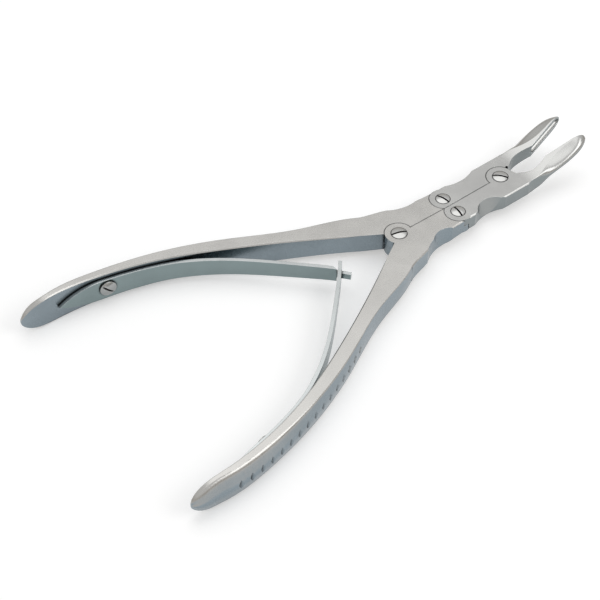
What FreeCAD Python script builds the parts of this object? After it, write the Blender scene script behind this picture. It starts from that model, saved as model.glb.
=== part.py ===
import FreeCAD, Part
import math
import os

from FreeCAD import Vector

# Double-action bone rongeur, lying flat and fully open.
# Origin: axis of the front pivot, on the flat underside of the jaws.
# +X points to the jaw tips, +Y to the upper handle, +Z up. Lengths in mm, angles in degrees.

# Joint block: two handles and two jaws on four pivots that form a rhombus
pivot_span = 40.0            # rear pivot to front pivot with the jaws open
joint_thickness = 5.0
joint_half_width = 7.5       # outer edge of the joint block, off the mid-line
handle_flare = 1.4           # each face of a handle leaves the mid plane by this angle
closing_angle = 10.5         # each jaw turns this far from open to closed
seam_gap = 0.14              # between the upper and lower members along the mid-line
lap_gap = 0.06               # between the two halves of a box lap
main_eye_radius = 4.3        # eyes on the rear and front pivots
link_eye_radius = 4.1        # eyes on the side pivots, flush with the outer edge
socket_clearance = 0.12      # round an eye
edge_break = 0.35            # bevel on the long outer edges
seam_break = 0.05            # bevel where two members meet

# Pivot screws
shank_radius = 1.5
main_head_radius = 2.4       # heads on the rear and front pivots
link_head_radius = 2.2       # heads on the side pivots
head_depth = 1.1             # head's seat below the face
head_rise = 0.45             # dome above the face
head_rim = 0.04              # rim of the dome above the face
running_clearance = 0.04
thread_clearance = 0.02
slot_width = 0.6
slot_depth = 0.75
slot_turns = {"rear": -20.0, "front": -51.0, "upper": -76.0, "lower": -98.0}

# Waists in the outer edges beside the side pivots, each with a deeper scallop at one face
scallop_offset = 9.4
scallop_radius = 5.8
waist_radius = 13.0
handle_waist = 1.0           # depth of the waist
handle_scallop = 2.0         # depth of the scallop at its face
jaw_waist = 1.5
jaw_scallop = 3.1

# Handles, from the rear pivot: (x, y) of the inner edge, width across,
# and how far the back rounds over inwards and downwards
handle_stations = [
    (-10.0, 6.1, 8.0, 0.35, 0.35),
    (-22.0, 13.2, 5.8, 0.35, 0.35),
    (-36.0, 21.0, 4.5, 0.45, 0.9),
    (-52.0, 29.0, 4.55, 0.8, 1.8),
    (-68.0, 35.2, 4.1, 1.4, 2.6),
    (-82.0, 38.5, 4.05, 2.0, 3.3),
    (-92.0, 39.6, 3.75, 2.1, 3.6),
]
handle_shoulder = [(0.0, 3.55), (7.0, 1.45), (14.0, 0.3)]    # outer edge, beyond the joint block's
nose_start = (-95.3, 39.65)
nose_length = 9.0
nose_width = 3.5
nose_lean = 0.25             # share of the nose's narrowing on the inner side
nose_profile = [(0.0, 0.97, 1.0), (0.5, 0.81, 0.94), (0.8, 0.54, 0.74), (0.94, 0.31, 0.46), (1.0, 0.12, 0.15)]
back_crown = 0.3
crease_angle = 20.0          # where the back's rounding meets the flat

# Serrations across the crown of the grips' backs
serration_count = 16
serration_pitch = 3.8
serration_rearmost = -90.0
serration_depth = 0.65
serration_rear_reach = 3.2   # a notch's root rises by its depth this far above and below the mid plane
serration_front_reach = 1.5
serration_half_angle = 58.0

# Jaws, from the front pivot: x, outer y, height, rounding inwards and downwards, and crown of the back
bend_start = 5.0
bend_radius = 26.0
bend_angle = 17.7
jaw_stations = [
    (bend_start, joint_half_width, joint_thickness, edge_break, edge_break, 0.1),
    (9.0, 7.35, 4.9, 0.45, 0.45, 0.12),
    (12.0, 7.7, 4.55, 1.3, 1.0, 0.25),
    (15.7, 8.2, 4.1, 3.0, 1.15, 0.5),
    (19.0, 8.45, 4.2, 3.8, 1.2, 0.5),
    (23.0, 8.4, 4.4, 3.6, 1.25, 0.45),
    (25.8, 7.95, 4.4, 2.8, 1.3, 0.4),
    (27.4, 7.35, 3.8, 2.0, 1.2, 0.35),
    (28.5, 6.65, 2.6, 1.3, 0.8, 0.25),
    (29.0, 6.15, 1.5, 0.7, 0.4, 0.15),
]
jaw_core = 2.0               # inner side of the jaw's stock before the mouth is cut
window_points = [(4.9, 1.9), (6.2, 2.6), (8.0, 3.6), (9.8, 4.0), (11.7, 3.95), (13.6, 3.55)]
window_start = (4.28, 0.3)
rim_start = 15.6             # where the cutting rim begins
rim_clearance = 0.03
heel_relief_angle = 28.5     # clears the other jaw's eye as the jaws close
heel_relief_radius = 5.25
cup_heel_radius = 1.5
cup_tip_radius = 1.1
cup_start = 17.2             # cup's end spheres, from the front pivot along the rim
cup_end = 28.0

# Leaf springs, from the rear pivot
spring_thickness = 1.1
spring_seat_gap = 0.12       # between a spring's root and its handle
spring_seat_points = (-94.0, -88.0, -82.0, -77.0, -72.0, -67.0, -62.0)
spring_free_points = [(-54.5, 28.7), (-45.0, 22.1), (-30.2, 8.3)]
spring_crossing = -22.2      # where the two springs cross on the mid-line
spring_tongue_end = (-20.1, -2.6)
spring_lug_end = (-20.2, -2.3)
spring_root = -92.7
spring_point_length = 13.0   # the root narrows to a point over this length
spring_root_half = 3.5
spring_waist = -60.0
spring_waist_half = 3.1
spring_tip_half = 2.4
tongue_half = 1.0
hole_clearance = 0.25

# Spring screws
spring_screw_x = -78.0
spring_screw_rise = 0.5      # above the mid plane
spring_screw_radius = 1.0
spring_screw_depth = 2.4
spring_head_radius = 2.5
spring_head_edge = 0.5
spring_head_height = 1.25
spring_head_gap = 0.05
spring_slot_width = 0.6
spring_slot_depth = 0.65

# Derived sizes and places
link_offset = joint_half_width - link_eye_radius    # side pivots, off the mid-line
mid_plane = joint_thickness / 2
rear_x = -pivot_span
link_x = -pivot_span / 2
seam_y = seam_gap / 2
reach = 60.0                 # longer than any cut needs
loft_degree = 3
flare = math.tan(math.radians(handle_flare))


def half_thickness(x):
    """Half the thickness of a member at x: even in the joint, flaring along the handles."""
    return mid_plane + flare * max(0.0, link_x - x)


def bezier(points):
    curve = Part.BezierCurve()
    curve.setPoles(points)
    return curve.toShape()


def spline(points, tangents=None):
    curve = Part.BSplineCurve()
    if tangents:
        curve.interpolate(Points=points, InitialTangent=tangents[0], FinalTangent=tangents[1])
    else:
        curve.interpolate(points)
    return curve


def line(a, b):
    return Part.LineSegment(a, b).toShape()


def flat(points, z=0.0):
    return [Vector(x, y, z) for x, y in points]


def polygon(points):
    return Part.Face(Part.makePolygon(points + points[:1]))


def d_section(place, width, half, inward, down, crown, edge):
    """Closed D-shaped wire: flat inner side, flat faces, and a back that rounds over."""
    side = half - down
    lean = math.radians(crease_angle)
    rise = math.hypot(2 * crown, side)
    top_a = (width - inward, half)
    top_b = (width - inward + 0.55 * inward * math.cos(lean), half - 0.55 * inward * math.sin(lean))
    top_c = (width - crown - 1.1 * down * crown / rise, side + 0.55 * down * side / rise)
    top_d = (width - crown, side)
    back = (width + crown / 3, side / 3)
    corner = [top_a, top_b, top_c, top_d]
    low_corner = [(s, -z) for s, z in reversed(corner)]
    edges = [
        line(place(0, edge - half), place(0, half - edge)),
        line(place(0, half - edge), place(edge, half)),
        line(place(edge, half), place(*top_a)),
        bezier([place(s, z) for s, z in corner]),
        bezier([place(*top_d), place(*back), place(back[0], -back[1]), place(top_d[0], -top_d[1])]),
        bezier([place(s, z) for s, z in low_corner]),
        line(place(top_a[0], -half), place(edge, -half)),
        line(place(edge, -half), place(0, edge - half)),
    ]
    return Part.Wire(edges)


def handle_path():
    """Inner edge of the upper handle as plan points with outward normals."""
    points = [Vector(rear_x, 0, 0)]
    points += [Vector(rear_x + s[0], s[1], 0) for s in handle_stations]
    points.append(Vector(rear_x + nose_start[0], nose_start[1], 0))
    path = []
    for before, here, after in zip(points, points[1:], points[2:]):
        along = (after - before).normalize()
        path.append((here, Vector(along.y, -along.x, 0)))
    return path


def handle_section(base, normal, width, scale, inward, down, edge):
    half = half_thickness(base.x)
    crown = min(back_crown, 0.3 * inward + 0.02)

    def place(s, z):
        point = base + normal * s
        return Vector(point.x, point.y, mid_plane + z * half_thickness(point.x) / half)

    return d_section(place, width, half * scale, inward, down, crown, edge)


def handle_shank():
    """Rear part of the upper handle, lofted from the shoulder to the rounded nose."""
    wires = []
    for (base, normal), station in zip(handle_path(), handle_stations):
        edge = edge_break if wires else seam_break
        wires.append(handle_section(base, normal, station[2], 1.0, station[3], station[4], edge))
    inward, down = handle_stations[-1][3:]
    for along, thick, wide in nose_profile:
        width = nose_width * wide
        shift = nose_lean * (nose_width - width)
        base = Vector(rear_x + nose_start[0] - nose_length * along, nose_start[1] + shift, 0)
        size = (inward * wide, down * thick, edge_break * thick)
        wires.append(handle_section(base, Vector(0, 1, 0), width, thick, *size))
    return Part.makeLoft(wires, True, False, False, loft_degree)


def joint_envelope(above=0.0):
    """Everything between the two outer faces of the joint block, or a little above the upper one."""
    back = rear_x - 30.0
    front = bend_start + main_eye_radius
    top = [(back, half_thickness(back)), (link_x, mid_plane), (front, mid_plane)]
    outline = [Vector(x, -reach / 2, mid_plane + h + above) for x, h in top]
    outline += [Vector(x, -reach / 2, mid_plane - h) for x, h in reversed(top)]
    return polygon(outline).extrude(Vector(0, reach, 0))


def shoulder_points():
    """Outer edge of the handle from beside the rear pivot to the side pivot."""
    points = [(rear_x + x, joint_half_width + beyond) for x, beyond in handle_shoulder]
    return points + [(link_x, joint_half_width)]


def handle_front():
    """Upper handle from its side pivot back past the rear pivot."""
    base, normal = handle_path()[0]
    outer_end = base + normal * handle_stations[0][2]
    shoulder = [outer_end] + flat(shoulder_points())
    along = Vector(normal.y, -normal.x, 0)
    edges = [
        spline(shoulder, (along, Vector(1, 0, 0))).toShape(),
        line(shoulder[-1], Vector(link_x, seam_y, 0)),
        line(Vector(link_x, seam_y, 0), Vector(rear_x, seam_y, 0)),
        line(Vector(rear_x, seam_y, 0), base),
        line(base, outer_end),
    ]
    plan = Part.Face(Part.Wire(edges))
    plan.translate(Vector(0, 0, -reach / 2))
    block = plan.extrude(Vector(0, 0, reach)).common(joint_envelope())
    return bevel_outer_edges(block, shoulder[1:])


def bevel_outer_edges(block, through):
    """Bevel the two long edges that pass over the given outline points."""
    picked = []
    for edge in block.Edges:
        level = Vector(through[0].x, through[0].y, edge.BoundBox.Center.z)
        spans = edge.BoundBox.XLength > 0.4 * (block.BoundBox.XLength)
        near = edge.distToShape(Part.Vertex(level))[0] < 0.5
        if spans and near:
            picked.append(edge)
    return block.makeChamfer(edge_break, picked)


def waist(x, edge_y, depth):
    """Shallow round waist through the whole thickness of the outer edge."""
    return through_hole(x, edge_y - depth + waist_radius, waist_radius)


def scallop(x, edge_y, depth, waist_depth, above):
    """Round cut, deepest at the top or bottom face, that leans out to the waist at the other face."""
    half = half_thickness(x)
    along = Vector(0, depth - waist_depth, -2 * half).normalize()
    out = Vector(0, -along.z, along.y)
    axis = Vector(x, edge_y - depth, mid_plane + half) + out * scallop_radius
    cut = Part.makeCylinder(scallop_radius, reach, axis - along * reach / 2, along)
    return cut if above else cut.mirror(Vector(0, 0, mid_plane), Vector(0, 0, 1))


def half_cylinder(x, y, radius, level, up):
    """Cylinder that starts at a level and runs out past the top or bottom face."""
    base = level if up else level - reach
    return Part.makeCylinder(radius, reach, Vector(x, y, base))


def box_lap(body, x, y, radius, top_eye, side=None):
    """Give a member its eye in one half of the thickness and its socket in the other."""
    lean = lap_gap / 2 if top_eye else -lap_gap / 2
    level = mid_plane + lean
    socket = half_cylinder(x, y, radius + socket_clearance, level, not top_eye)
    eye = half_cylinder(x, y, radius, level, top_eye).common(joint_envelope())
    if side:
        eye = eye.common(side)
    return body.cut(socket).fuse(eye).removeSplitter()


def upper_side():
    return Part.makeBox(2 * reach, reach, reach, Vector(-reach * 1.5, seam_y, -reach / 2))


def through_hole(x, y, radius):
    return Part.makeCylinder(radius, reach, Vector(x, y, -reach / 2))


def head_seat(x):
    return mid_plane + half_thickness(x) - head_depth


def dome(rim, crown):
    """Arc from a head's rim up to its crown on the axis, part of a sphere."""
    height = crown.z - rim.z
    radius = (rim.x ** 2 + height ** 2) / (2 * height)
    turn = math.asin(rim.x / abs(radius)) / 2
    middle = crown + Vector(abs(radius) * math.sin(turn), 0, -radius * (1 - math.cos(turn)))
    return Part.Arc(rim, middle, crown).toShape()


def screw_cut(x, y, head_radius=None):
    """Hole for a pivot screw: a counterbore over a running hole, or the threaded half."""
    if head_radius is None:
        return through_hole(x, y, shank_radius + thread_clearance)
    bore = through_hole(x, y, shank_radius + running_clearance)
    counterbore = Part.makeCylinder(head_radius + running_clearance, reach, Vector(x, y, head_seat(x)))
    return bore.fuse(counterbore)


def pivot_screw(x, y, head_radius, turn):
    """Slotted screw with a low dome, its head sunk in the upper eye and its end flush below."""
    seat = head_seat(x)
    top = seat + head_depth
    low = -joint_thickness
    points = [(0, low), (shank_radius, low), (shank_radius, seat), (head_radius, seat), (head_radius, top + head_rim)]
    corners = [Vector(r, 0, z) for r, z in points]
    edges = [line(a, b) for a, b in zip(corners, corners[1:])]
    crown = Vector(0, 0, top + head_rise)
    edges.append(dome(corners[-1], crown))
    edges.append(line(crown, corners[0]))
    screw = Part.Face(Part.Wire(edges)).revolve(Vector(0, 0, 0), Vector(0, 0, 1), 360)
    slot = Part.makeBox(3 * head_radius, slot_width, 1.0 + slot_depth)
    slot.translate(Vector(-1.5 * head_radius, -slot_width / 2, top + head_rise - slot_depth))
    slot.rotate(Vector(0, 0, 0), Vector(0, 0, 1), turn)
    screw = screw.cut(slot)
    screw.translate(Vector(x, y, 0))
    return screw.common(joint_envelope(joint_thickness))


def serrations():
    """V notches across the back, deepest at the mid plane and fading out above and below it."""
    crown = [base + normal * s[2] for (base, normal), s in zip(handle_path(), handle_stations)]
    curve = spline(list(reversed(crown)))
    begin = curve.parameter(Vector(rear_x + serration_rearmost, crown[-1].y, 0))
    spread = serration_depth * math.tan(math.radians(serration_half_angle))
    notches = []
    for index in range(serration_count):
        place = curve.parameterAtDistance(index * serration_pitch, begin)
        along = curve.tangent(place)[0]
        out = Vector(-along.y, along.x, 0) * serration_depth
        root = curve.value(place) - out + Vector(0, 0, mid_plane)
        outer = root + out * 1.6
        face = polygon([root, outer + along * 1.6 * spread, outer - along * 1.6 * spread])
        share = index / (serration_count - 1)
        lift = Vector(0, 0, serration_rear_reach + share * (serration_front_reach - serration_rear_reach))
        notches += [face.extrude((out + lift) * 1.8), face.extrude((out - lift) * 1.8)]
    return notches


def inner_side(x):
    """Point on the handle's inner edge near x from the rear pivot, with the outward normal."""
    nose = Vector(rear_x + nose_start[0], nose_start[1], 0)
    curve = spline([base for base, normal in handle_path()] + [nose])
    place = curve.parameter(Vector(rear_x + x, handle_stations[4][1], 0))
    along = curve.tangent(place)[0]
    return curve.value(place), Vector(along.y, -along.x, 0)


def spring_mount():
    """Point on the handle's inner side at the spring screw, with the outward normal."""
    point, normal = inner_side(spring_screw_x)
    return point + Vector(0, 0, mid_plane + spring_screw_rise), normal


def handle_blank():
    """Upper handle before its lap at the rear pivot."""
    body = handle_front().fuse(handle_shank())
    waist_x = link_x - scallop_offset
    body = body.cut(waist(waist_x, handle_edge_y(waist_x), handle_waist))
    body = body.cut(serrations())
    point, normal = spring_mount()
    hole = Part.makeCylinder(spring_screw_radius + thread_clearance, spring_screw_depth + 1.0, point - normal, normal)
    body = body.cut(hole)
    return box_lap(body, link_x, link_offset, link_eye_radius, False, upper_side())


def handle_edge_y(x):
    """Outer edge of the handle's shoulder at x, between its stated points."""
    points = shoulder_points()
    for (x0, y0), (x1, y1) in zip(points, points[1:]):
        if x0 <= x <= x1:
            return y0 + (y1 - y0) * (x - x0) / (x1 - x0)
    return joint_half_width


def jaw_line(x):
    """Height of the jaw's centre line and its slope angle at x."""
    full = math.radians(bend_angle)
    bend_end = bend_start + bend_radius * math.sin(full)
    if x >= bend_end:
        rise = bend_radius * (1 - math.cos(full)) + (x - bend_end) * math.tan(full)
        return mid_plane + rise, full
    angle = math.asin(max(0.0, x - bend_start) / bend_radius)
    return mid_plane + bend_radius * (1 - math.cos(angle)), angle


def jaw_section(station):
    x, outer, height, inward, down, crown = station
    level, angle = jaw_line(x)

    def place(s, z):
        return Vector(x - z * math.sin(angle), jaw_core + s, level + z * math.cos(angle))

    return d_section(place, outer - jaw_core, height / 2, inward, down, crown, seam_break)


def rim_y(x):
    """Cutting rim: a plane through the front pivot that lands on the mid-line when closed."""
    return x * math.tan(math.radians(closing_angle)) + rim_clearance


def mouth_cut():
    """Space between the jaws above the mid-line: the window and the mouth."""
    window = flat(window_points) + [Vector(rim_start, rim_y(rim_start), 0)]
    far = jaw_stations[-1][0] + 5.0
    start = Vector(window_start[0], window_start[1], 0)
    edges = [
        line(start, window[0]),
        spline(window).toShape(),
        line(window[-1], Vector(far, rim_y(far), 0)),
        line(Vector(far, rim_y(far), 0), Vector(far, -5.0, 0)),
        line(Vector(far, -5.0, 0), Vector(start.x, -5.0, 0)),
        line(Vector(start.x, -5.0, 0), start),
    ]
    plan = Part.Face(Part.Wire(edges))
    plan.translate(Vector(0, 0, -reach / 2))
    return plan.extrude(Vector(0, 0, reach))


def cup_cut():
    """Long rounded hollow with its axis on the cutting rim."""
    angle = math.radians(closing_angle)
    ends = []
    for distance in (cup_start, cup_end):
        x = distance * math.cos(angle)
        ends.append(Vector(x, distance * math.sin(angle), jaw_line(x)[0]))
    along = ends[1] - ends[0]
    trough = Part.makeCone(cup_heel_radius, cup_tip_radius, along.Length, ends[0], along)
    heel = Part.makeSphere(cup_heel_radius, ends[0])
    return trough.fuse([heel, Part.makeSphere(cup_tip_radius, ends[1])])


def jaw_blank():
    """Upper jaw before its lap at the front pivot."""
    length = bend_start - link_x
    width = joint_half_width - seam_y
    block = Part.makeBox(length, width, joint_thickness, Vector(link_x, seam_y, 0))
    outer = [e for e in block.Edges if e.BoundBox.YMin > joint_half_width - 0.01 and e.BoundBox.ZLength < 0.01]
    block = block.makeChamfer(edge_break, outer)
    wires = [jaw_section(station) for station in jaw_stations]
    arm = Part.makeLoft(wires, True, False, False, loft_degree)
    body = block.fuse(arm).cut(mouth_cut())
    body = body.cut(waist(link_x + scallop_offset, joint_half_width, jaw_waist))
    body = body.cut(cup_cut())
    return box_lap(body, link_x, link_offset, link_eye_radius, True, upper_side())


def heel_relief(top_eye):
    """Clears the socket half of a jaw's heel for the other jaw's shoulder."""
    level = mid_plane + (lap_gap / 2 if top_eye else -lap_gap / 2)
    sector = Part.makeCylinder(heel_relief_radius, reach, Vector(0, 0, 0), Vector(0, 0, 1), heel_relief_angle + 40)
    sector.rotate(Vector(0, 0, 0), Vector(0, 0, 1), -40)
    sector.translate(Vector(0, 0, level - reach if top_eye else level))
    return sector


def spring_sides(end):
    """Centre line of a leaf spring, on its handle and then across to the mid-line."""
    seat = spring_seat_gap + spring_thickness / 2
    root = [point - normal * seat for point, normal in map(inner_side, spring_seat_points)]
    free = [Vector(rear_x + x, y, 0) for x, y in spring_free_points]
    tail = [Vector(rear_x + spring_crossing, 0, 0), Vector(rear_x + end[0], end[1], 0)]
    points = root + free + tail
    centre = spline(points)
    offsets = []
    for point in points:
        along = centre.tangent(centre.parameter(point))[0]
        offsets.append(Vector(-along.y, along.x, 0) * (spring_thickness / 2))
    above = [p + o for p, o in zip(points, offsets)]
    below = [p - o for p, o in zip(points, offsets)]
    return above, below


def ogive(point, shoulder):
    """Arc from a point to a shoulder, level with the X axis at the shoulder."""
    length = shoulder.x - point.x
    half = shoulder.z - point.z
    radius = (length ** 2 + half ** 2) / (2 * half)
    turn = math.asin(length / abs(radius)) / 2
    middle = shoulder - Vector(abs(radius) * math.sin(turn), 0, radius * (1 - math.cos(turn)))
    return Part.Arc(point, middle, shoulder).toShape()


def spring_strip(end, tip_x, tip_half):
    """Leaf spring: a bent strip, widest at the screw, that tapers to its tip and to a pointed root."""
    above, below = spring_sides(end)
    edges = [
        spline(above).toShape(),
        line(above[-1], below[-1]),
        spline(below).toShape(),
        line(below[0], above[0]),
    ]
    plan = Part.Face(Part.Wire(edges))
    plan.translate(Vector(0, 0, -reach / 2))
    strip = plan.extrude(Vector(0, 0, reach))
    shoulder = rear_x + spring_root + spring_point_length
    waist = rear_x + spring_waist
    step = rear_x + tip_x
    top = [(shoulder, spring_root_half), (waist, spring_waist_half), (step, spring_tip_half)]
    top += [(step, tip_half), (rear_x + end[0] + 3.0, tip_half)]
    upper = [Vector(x, -reach / 2, mid_plane + h) for x, h in top]
    lower = [Vector(x, -reach / 2, mid_plane - h) for x, h in reversed(top)]
    root = Vector(rear_x + spring_root, -reach / 2, mid_plane)
    outline = [ogive(root, upper[0]), ogive(root, lower[-1])]
    outline += [line(a, b) for a, b in zip(upper + lower, (upper + lower)[1:]) if (a - b).Length > 1e-6]
    profile = Part.Face(Part.Wire(outline)).extrude(Vector(0, 2 * reach, 0))
    strip = strip.common(profile)
    point, normal = spring_mount()
    hole = Part.makeCylinder(spring_screw_radius + thread_clearance, 6.0, point - normal * 4.0, normal)
    return strip.cut(hole)


def upper_spring():
    """Spring of the upper handle: its narrow tongue passes through the other spring."""
    shoulder = spring_crossing - 0.7 * (spring_thickness + hole_clearance)
    return spring_strip(spring_tongue_end, shoulder, tongue_half)


def lower_spring():
    """Spring of the lower handle, modelled on the upper side and mirrored: a lug with a hole."""
    strip = spring_strip(spring_lug_end, spring_crossing, spring_tip_half)
    a = Vector(rear_x + spring_crossing, 0, mid_plane)
    b = Vector(rear_x + spring_lug_end[0], spring_lug_end[1], mid_plane)
    turn = math.degrees(math.atan2(b.y - a.y, b.x - a.x))
    length = spring_thickness + 2 * hole_clearance
    height = 2 * (tongue_half + hole_clearance)
    hole = Part.makeBox(length, 6.0, height, Vector(-length / 2, -3.0, -height / 2))
    hole.rotate(Vector(0, 0, 0), Vector(0, 0, 1), turn)
    hole.translate(a)
    return flip(strip.cut(hole))


def spring_screw():
    """Domed slotted screw that holds the upper spring to its handle."""
    point, normal = spring_mount()
    seat = -(spring_seat_gap + spring_thickness + spring_head_gap)
    corners = [
        Vector(0, 0, spring_screw_depth),
        Vector(spring_screw_radius, 0, spring_screw_depth),
        Vector(spring_screw_radius, 0, seat),
        Vector(spring_head_radius, 0, seat),
        Vector(spring_head_radius, 0, seat - spring_head_edge),
    ]
    edges = [line(a, b) for a, b in zip(corners, corners[1:])]
    crown = Vector(0, 0, seat - spring_head_height)
    edges.append(dome(corners[-1], crown))
    edges.append(line(crown, corners[0]))
    screw = Part.Face(Part.Wire(edges)).revolve(Vector(0, 0, 0), Vector(0, 0, 1), 360)
    slot = Part.makeBox(3 * spring_head_radius, spring_slot_width, 2.0)
    base = seat - spring_head_height + spring_slot_depth - 2.0
    slot.translate(Vector(-1.5 * spring_head_radius, -spring_slot_width / 2, base))
    slot.rotate(Vector(0, 0, 0), Vector(0, 0, 1), 30)
    screw = screw.cut(slot)
    screw.Placement = FreeCAD.Placement(point, FreeCAD.Rotation(Vector(0, 0, 1), normal))
    return screw


def flip(shape):
    """Mirror image on the other side of the mid-line."""
    return shape.mirror(Vector(0, 0, 0), Vector(0, 1, 0))


def make_handles():
    blank = handle_blank()
    x = link_x - scallop_offset
    handles = []
    for side, top_eye in ((blank, False), (flip(blank), True)):
        thumb = scallop(x, handle_edge_y(x), handle_scallop, handle_waist, top_eye)
        body = side.cut(flip(thumb) if top_eye else thumb)
        body = box_lap(body, rear_x, 0, main_eye_radius, top_eye)
        body = body.cut(screw_cut(rear_x, 0, main_head_radius if top_eye else None))
        body = body.cut(screw_cut(link_x, -link_offset if top_eye else link_offset))
        handles.append(body)
    return handles


def make_jaws():
    blank = jaw_blank()
    x = link_x + scallop_offset
    jaws = []
    for side, top_eye in ((blank, False), (flip(blank), True)):
        cuts = [scallop(x, joint_half_width, jaw_scallop, jaw_waist, top_eye), heel_relief(top_eye)]
        body = side.cut([flip(c) for c in cuts] if top_eye else cuts)
        body = box_lap(body, 0, 0, main_eye_radius, top_eye)
        body = body.cut(screw_cut(0, 0, main_head_radius if top_eye else None))
        body = body.cut(screw_cut(link_x, -link_offset if top_eye else link_offset, link_head_radius))
        jaws.append(body)
    return jaws


def export(name, shape):
    print(name, "solids", len(shape.Solids), "valid", shape.isValid(), "volume", round(shape.Volume, 2))
    shape.exportStep(os.path.join("parts", name + ".step"))


def main():
    os.makedirs("parts", exist_ok=True)
    upper_handle, lower_handle = make_handles()
    upper_jaw, lower_jaw = make_jaws()
    pieces = {
        "upper_handle": upper_handle,
        "lower_handle": lower_handle,
        "upper_jaw": upper_jaw,
        "lower_jaw": lower_jaw,
        "rear_pivot_screw": pivot_screw(rear_x, 0, main_head_radius, slot_turns["rear"]),
        "front_pivot_screw": pivot_screw(0, 0, main_head_radius, slot_turns["front"]),
        "upper_link_screw": pivot_screw(link_x, link_offset, link_head_radius, slot_turns["upper"]),
        "lower_link_screw": pivot_screw(link_x, -link_offset, link_head_radius, slot_turns["lower"]),
        "upper_leaf_spring": upper_spring(),
        "lower_leaf_spring": lower_spring(),
        "upper_spring_screw": spring_screw(),
        "lower_spring_screw": flip(spring_screw()),
    }
    for name, shape in pieces.items():
        export(name, shape)


main()
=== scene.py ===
import bpy
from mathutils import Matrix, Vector


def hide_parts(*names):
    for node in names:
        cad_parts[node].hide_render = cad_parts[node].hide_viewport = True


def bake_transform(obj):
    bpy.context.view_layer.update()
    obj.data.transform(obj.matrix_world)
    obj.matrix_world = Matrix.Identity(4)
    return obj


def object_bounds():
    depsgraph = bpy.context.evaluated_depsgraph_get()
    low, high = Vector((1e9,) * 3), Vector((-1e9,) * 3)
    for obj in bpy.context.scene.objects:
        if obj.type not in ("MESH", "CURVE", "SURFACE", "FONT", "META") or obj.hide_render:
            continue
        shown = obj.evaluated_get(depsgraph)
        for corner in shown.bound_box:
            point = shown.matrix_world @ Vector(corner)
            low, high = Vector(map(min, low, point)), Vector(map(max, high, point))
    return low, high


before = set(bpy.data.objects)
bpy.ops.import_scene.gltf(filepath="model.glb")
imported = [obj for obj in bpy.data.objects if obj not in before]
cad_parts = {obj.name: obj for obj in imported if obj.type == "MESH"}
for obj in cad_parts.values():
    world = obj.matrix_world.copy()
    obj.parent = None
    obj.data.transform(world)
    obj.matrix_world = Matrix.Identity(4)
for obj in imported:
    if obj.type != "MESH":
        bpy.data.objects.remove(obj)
cad_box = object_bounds()
scene = bpy.context.scene

# Lengths in metres. +X to the jaw tips, +Y to the upper handle, +Z up.
MM = 0.001
MID_PLANE = 0.0025             # halfway through the joint block
LINK_X = -0.020                # the side pivots lie here, halfway between the main ones
MAIN_PIVOTS = [(-0.040, 0.0), (0.0, 0.0)]
LINK_PIVOTS = [(LINK_X, 0.0034), (LINK_X, -0.0034)]
MAIN_EYE = 0.00436             # radii of the seams round the eyes
LINK_EYE = 0.00416
MAIN_HEAD = 0.00238            # radii of the seams round the screw heads
LINK_HEAD = 0.00218

STRAIGHT_SEAM = 0.0159         # how far the mid-line's seam runs either way from the side pivots
PAST_MIDDLE = 0.0002           # how far the seam round a main eye runs past the mid-line
SEAM_DARK = 0.00008            # painted shade is full this near a seam
SEAM_SHADE_GONE = 0.00019           # and gone this far off
SEAM_SHADE = 0.12
CREVICE = 0.0009               # how near a wall has to be for the painted shade of a corner
CREVICE_SHADE = 0.25
EDGE_ROUNDING = 0.00012
# tone of the painted highlight along the edges
EDGE_HIGHLIGHT = (0.74, 0.75, 0.75)

MIDDLE = (0.3, 0.7)            # the range that most of a noise lies in
CLOUD_SCALE = 110.0
PIT_SCALE = 9000.0
BRUSHED = (900, 9000, 9000)    # scratches drawn out along X
EVEN = (6000, 6000, 6000)
GRAIN = 0.03
GRAIN_DEPTH = 0.00001
SHEEN_SPREAD = 0.05

HORIZON = (0.62, 0.59, 0.55)
OVERHEAD = (1.0, 1.0, 1.0)
ROOM_LIGHT = 0.6               # strength of the room where the camera doesn't see it
FLOOR_LIFT = 0.35


def node(tree, kind, **settings):
    made = tree.nodes.new(kind)
    for name, value in settings.items():
        setattr(made, name, value)
    return made


def map_range(tree, value, low, high, to_low=0.0, to_high=1.0, smooth=False):
    made = node(tree, "ShaderNodeMapRange")
    if smooth:
        made.interpolation_type = "SMOOTHSTEP"
    made.inputs["From Min"].default_value = low
    made.inputs["From Max"].default_value = high
    made.inputs["To Min"].default_value = to_low
    made.inputs["To Max"].default_value = to_high
    tree.links.new(value, made.inputs["Value"])
    return made.outputs["Result"]


def maths(tree, operation, first, second=0.0):
    made = node(tree, "ShaderNodeMath", operation=operation)
    for socket, value in zip(made.inputs, (first, second)):
        if isinstance(value, (int, float)):
            socket.default_value = value
        else:
            tree.links.new(value, socket)
    return made.outputs["Value"]


def product(tree, first, *others):
    for other in others:
        first = maths(tree, "MULTIPLY", first, other)
    return first


def noise(tree, place, scale, detail, roughness=0.6, stretch=None):
    made = node(tree, "ShaderNodeTexNoise")
    made.inputs["Scale"].default_value = scale
    made.inputs["Detail"].default_value = detail
    made.inputs["Roughness"].default_value = roughness
    if stretch:
        mapping = node(tree, "ShaderNodeMapping")
        mapping.inputs["Scale"].default_value = stretch
        tree.links.new(place, mapping.inputs["Vector"])
        place = mapping.outputs["Vector"]
    tree.links.new(place, made.inputs["Vector"])
    return made.outputs["Fac"]


def mix_colour(tree, factor, first, second):
    made = node(tree, "ShaderNodeMix", data_type="RGBA")
    tree.links.new(factor, made.inputs["Factor"])
    for name, value in (("A", first), ("B", second)):
        if isinstance(value, tuple):
            made.inputs[name].default_value = (*value, 1.0)
        else:
            tree.links.new(value, made.inputs[name])
    return made.outputs["Result"]


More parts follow.
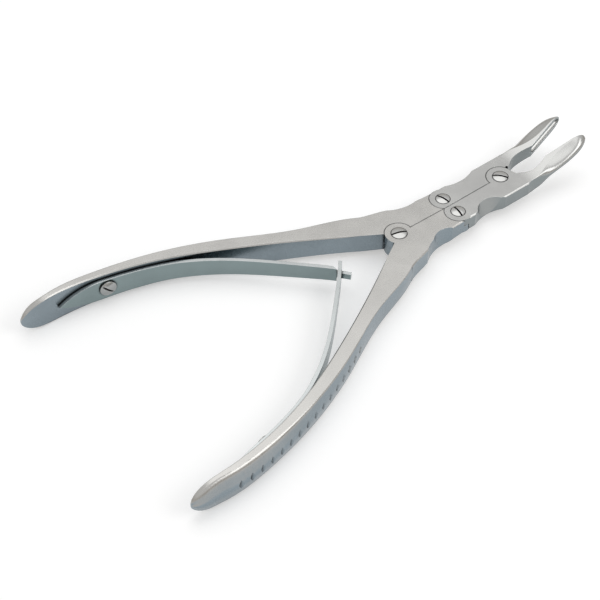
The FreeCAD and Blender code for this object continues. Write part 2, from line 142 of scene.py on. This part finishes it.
def ring(tree, plan, centre, radius):
    """Distance in plan from a circle round a pivot."""
    away = node(tree, "ShaderNodeVectorMath", operation="DISTANCE")
    tree.links.new(plan, away.inputs[0])
    away.inputs[1].default_value = (*centre, 0.0)
    return maths(tree, "ABSOLUTE", maths(tree, "SUBTRACT", away.outputs["Value"], radius))


def where(tree, condition, distance):
    """The distance where the condition is 1, and far away elsewhere."""
    return maths(tree, "ADD", distance, maths(tree, "SUBTRACT", 1.0, condition))


def seam_shade_mask(tree, place):
    """Where the painted shade of the hairline seams goes: 1 along the seams of the joint block and
    round the screw heads, 0 a little way off.
    """
    parts = node(tree, "ShaderNodeSeparateXYZ")
    tree.links.new(place, parts.inputs[0])
    x, y, z = (parts.outputs[axis] for axis in "XYZ")
    plan = node(tree, "ShaderNodeVectorMath", operation="MULTIPLY")
    tree.links.new(place, plan.inputs[0])
    plan.inputs[1].default_value = (1.0, 1.0, 0.0)
    plan = plan.outputs["Vector"]

    # Each eye shows on one face only, so the seams swap sides between the top and the underside.
    up = maths(tree, "SIGN", maths(tree, "SUBTRACT", z, MID_PLANE))
    from_links = maths(tree, "ADD", x, -LINK_X)
    far_side = maths(tree, "GREATER_THAN", product(tree, y, up), -PAST_MIDDLE)
    rear_side = maths(tree, "LESS_THAN", product(tree, from_links, up), 0.0)

    on_seam = maths(tree, "LESS_THAN", maths(tree, "ABSOLUTE", from_links), STRAIGHT_SEAM)
    seams = [where(tree, on_seam, maths(tree, "ABSOLUTE", y))]
    for centre in MAIN_PIVOTS:
        seams.append(where(tree, far_side, ring(tree, plan, centre, MAIN_EYE)))
        seams.append(ring(tree, plan, centre, MAIN_HEAD))
    for centre in LINK_PIVOTS:
        own_side = maths(tree, "GREATER_THAN", product(tree, y, centre[1]), 0.0)
        own_half = product(tree, own_side, rear_side)
        seams.append(where(tree, own_half, ring(tree, plan, centre, LINK_EYE)))
        seams.append(ring(tree, plan, centre, LINK_HEAD))

    nearest = seams[0]
    for seam in seams[1:]:
        nearest = maths(tree, "MINIMUM", nearest, seam)
    return map_range(tree, nearest, SEAM_SHADE_GONE, SEAM_DARK, smooth=True)


def steel(name, flat, shaded_side, rough, brushed, rounding=(0.1, 0.5), crevice_shade_range=(0.6, 0.97)):
    """Satin steel: ground flats, sides darker and bluer as painted shade, a fine grain, painted shade
    in corners and along the seams, painted highlights on the edges.
    """
    made = bpy.data.materials.new(name)
    made.use_nodes = True
    tree = made.node_tree
    link = tree.links.new
    shader = tree.nodes["Principled BSDF"]
    shader.inputs["Metallic"].default_value = 1.0
    place = node(tree, "ShaderNodeTexCoord").outputs["Object"]
    scratches = noise(tree, place, 1.0, 6.0, 0.7, brushed)
    clouds = noise(tree, place, CLOUD_SCALE, 4.0)
    pits = noise(tree, place, PIT_SCALE, 2.0)

    # How flat the face lies, by its normal, for the painted shade of the sides, and the seams, with
    # their painted shade, that show on such faces
    face = node(tree, "ShaderNodeNewGeometry")
    across = node(tree, "ShaderNodeSeparateXYZ")
    link(face.outputs["Normal"], across.inputs[0])
    topside = map_range(tree, across.outputs["Z"], *rounding, smooth=True)
    underside = map_range(tree, across.outputs["Z"], -0.7, -0.97, smooth=True)
    flatness = maths(tree, "MAXIMUM", topside, underside)
    level = map_range(tree, maths(tree, "ABSOLUTE", across.outputs["Z"]), 0.6, 0.8)
    # Painted shade along the seams, on level faces only
    seam = product(tree, seam_shade_mask(tree, place), level)

    # Painted shade in sheltered corners, and a painted highlight on edges where the rounded normal
    # leaves the face's own
    edge = node(tree, "ShaderNodeBevel", samples=8)
    edge.inputs["Radius"].default_value = EDGE_ROUNDING
    shelter = node(tree, "ShaderNodeAmbientOcclusion", samples=8)
    shelter.inputs["Distance"].default_value = CREVICE
    link(edge.outputs["Normal"], shelter.inputs["Normal"])
    # open_air is 0 in crevices, where painted shade darkens the colour
    open_air = map_range(tree, shelter.outputs["AO"], *crevice_shade_range, smooth=True)
    turn = node(tree, "ShaderNodeVectorMath", operation="DOT_PRODUCT")
    link(edge.outputs["Normal"], turn.inputs[0])
    link(face.outputs["Normal"], turn.inputs[1])
    edge_turn = map_range(tree, turn.outputs["Value"], 0.99, 0.84)
    # Painted highlight on rounded edges, broken up by the clouds and kept out of crevices
    edge_highlight = product(tree, edge_turn, map_range(tree, clouds, 0.3, 0.55), open_air)

    # Random tone and grain, darkened by painted shade in crevices and along the seams
    shade = product(
        tree,
        map_range(tree, clouds, *MIDDLE, 0.93, 1.03),
        map_range(tree, scratches, *MIDDLE, 0.97, 1.03),
        map_range(tree, open_air, 0.0, 1.0, CREVICE_SHADE, 1.0),
        map_range(tree, seam, 0.0, 1.0, 1.0, SEAM_SHADE),
    )
    toned = node(tree, "ShaderNodeVectorMath", operation="SCALE")
    # Sides take the darker, bluer tone as painted shade; flats and undersides keep the lighter tone
    link(mix_colour(tree, flatness, shaded_side, flat), toned.inputs[0])
    link(shade, toned.inputs["Scale"])
    # The painted highlight lightens the colour along the edges
    colour = mix_colour(tree, edge_highlight, toned.outputs["Vector"], EDGE_HIGHLIGHT)
    link(colour, shader.inputs["Base Color"])

    sheen = maths(tree, "ADD", product(tree, scratches, 0.5), product(tree, clouds, 0.5))
    sheen = map_range(tree, sheen, *MIDDLE, rough - SHEEN_SPREAD, rough + SHEEN_SPREAD)
    link(sheen, shader.inputs["Roughness"])

    bump = node(tree, "ShaderNodeBump")
    bump.inputs["Strength"].default_value = GRAIN
    bump.inputs["Distance"].default_value = GRAIN_DEPTH
    link(maths(tree, "ADD", scratches, product(tree, pits, 0.6)), bump.inputs["Height"])
    link(edge.outputs["Normal"], bump.inputs["Normal"])
    link(bump.outputs["Normal"], shader.inputs["Normal"])
    return made


def dress(obj, material):
    obj.data.materials.clear()
    obj.data.materials.append(material)


def bending_spring(name, material):
    """The leaf spring as a dressed copy of the CAD part's mesh, fixed in place, standing in for the
    hidden CAD part.
    """
    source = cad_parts[name]
    made = bpy.data.objects.new("bent_" + name, source.data.copy())
    scene.collection.objects.link(made)
    dress(made, material)
    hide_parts(name)
    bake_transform(made)


def aim(obj, place, target):
    obj.location = place
    obj.rotation_euler = (Vector(target) - Vector(place)).to_track_quat("-Z", "Y").to_euler()
    scene.collection.objects.link(obj)


def area_light(name, place, target, size, power):
    lamp = bpy.data.lights.new(name, "AREA")
    lamp.shape = "RECTANGLE"
    lamp.size, lamp.size_y = size
    lamp.energy = power
    obj = bpy.data.objects.new(name, lamp)
    obj.visible_camera = False
    aim(obj, place, target)


def seen_plainly(tree):
    """1 for the camera, mirror and glass rays, which see the plain white of the backdrop."""
    rays = node(tree, "ShaderNodeLightPath").outputs
    seen = maths(tree, "MAXIMUM", rays["Is Camera Ray"], rays["Is Glossy Ray"])
    return maths(tree, "MAXIMUM", seen, rays["Is Transmission Ray"])


def lay_floor():
    bpy.ops.mesh.primitive_plane_add(size=6.0, location=(0, 0, cad_box[0][2] - 0.00005))
    floor = bpy.context.object
    floor.name = "floor"
    made = bpy.data.materials.new("white_floor")
    made.use_nodes = True
    tree = made.node_tree
    shader = tree.nodes["Principled BSDF"]
    shader.inputs["Base Color"].default_value = (0.8, 0.8, 0.8, 1.0)
    shader.inputs["Roughness"].default_value = 0.9
    shader.inputs["Specular IOR Level"].default_value = 0.0
    shader.inputs["Emission Color"].default_value = (1, 1, 1, 1)
    lift = product(tree, seen_plainly(tree), FLOOR_LIFT)
    tree.links.new(lift, shader.inputs["Emission Strength"])
    floor.data.materials.append(made)


def light_world():
    """Plain studio room: white overhead, a warm pale grey towards the horizon."""
    world = bpy.data.worlds.new("studio")
    scene.world = world
    world.use_nodes = True
    tree = world.node_tree
    back = tree.nodes["Background"]
    direction = node(tree, "ShaderNodeSeparateXYZ")
    tree.links.new(node(tree, "ShaderNodeTexCoord").outputs["Generated"], direction.inputs[0])
    height = map_range(tree, direction.outputs["Z"], 0.05, 0.62, smooth=True)
    tree.links.new(mix_colour(tree, height, HORIZON, OVERHEAD), back.inputs["Color"])
    strength = map_range(tree, seen_plainly(tree), 0.0, 1.0, ROOM_LIGHT, 1.0)
    tree.links.new(strength, back.inputs["Strength"])


def set_camera():
    lens = bpy.data.cameras.new("camera")
    lens.sensor_fit = "HORIZONTAL"
    lens.sensor_width = 36.0
    lens.lens = 108.5
    obj = bpy.data.objects.new("camera", lens)
    aim(obj, Vector((-295.3, -277.2, 375.4)) * MM, Vector((-78.95, -2.79, 5.0)) * MM)
    scene.camera = obj


# Each steel's side tone is painted shade, darker and bluer than its flat tone
satin = steel(
    "satin_steel", flat=(0.42, 0.413, 0.397), shaded_side=(0.25, 0.295, 0.325),
    rough=0.27, brushed=BRUSHED, rounding=(0.15, 0.55), crevice_shade_range=(0.72, 0.98))
jaw_steel = steel(
    "jaw_steel", flat=(0.41, 0.41, 0.40), shaded_side=(0.25, 0.275, 0.28),
    rough=0.24, brushed=BRUSHED)
screw_steel = steel(
    "screw_steel", flat=(0.43, 0.43, 0.42), shaded_side=(0.34, 0.35, 0.35),
    rough=0.22, brushed=EVEN)
spring_steel = steel(
    "blue_grey_spring_steel", flat=(0.42, 0.44, 0.44), shaded_side=(0.23, 0.285, 0.29),
    rough=0.24, brushed=BRUSHED)

for name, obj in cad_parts.items():
    if name.endswith("handle"):
        dress(obj, satin)
    elif name.endswith("jaw"):
        dress(obj, jaw_steel)
    elif name.endswith("screw"):
        dress(obj, screw_steel)
    else:
        dress(obj, spring_steel)
        bending_spring(name, spring_steel)

set_camera()
lay_floor()
light_world()
area_light("key", (0.15, 0.225, 0.9), (-0.05, 0, 0), (0.85, 0.85), 2.2)
area_light("fill", (0.33, -0.58, 0.6), (-0.05, 0, 0), (0.6, 0.4), 1.6)

scene.view_settings.view_transform = "Standard"
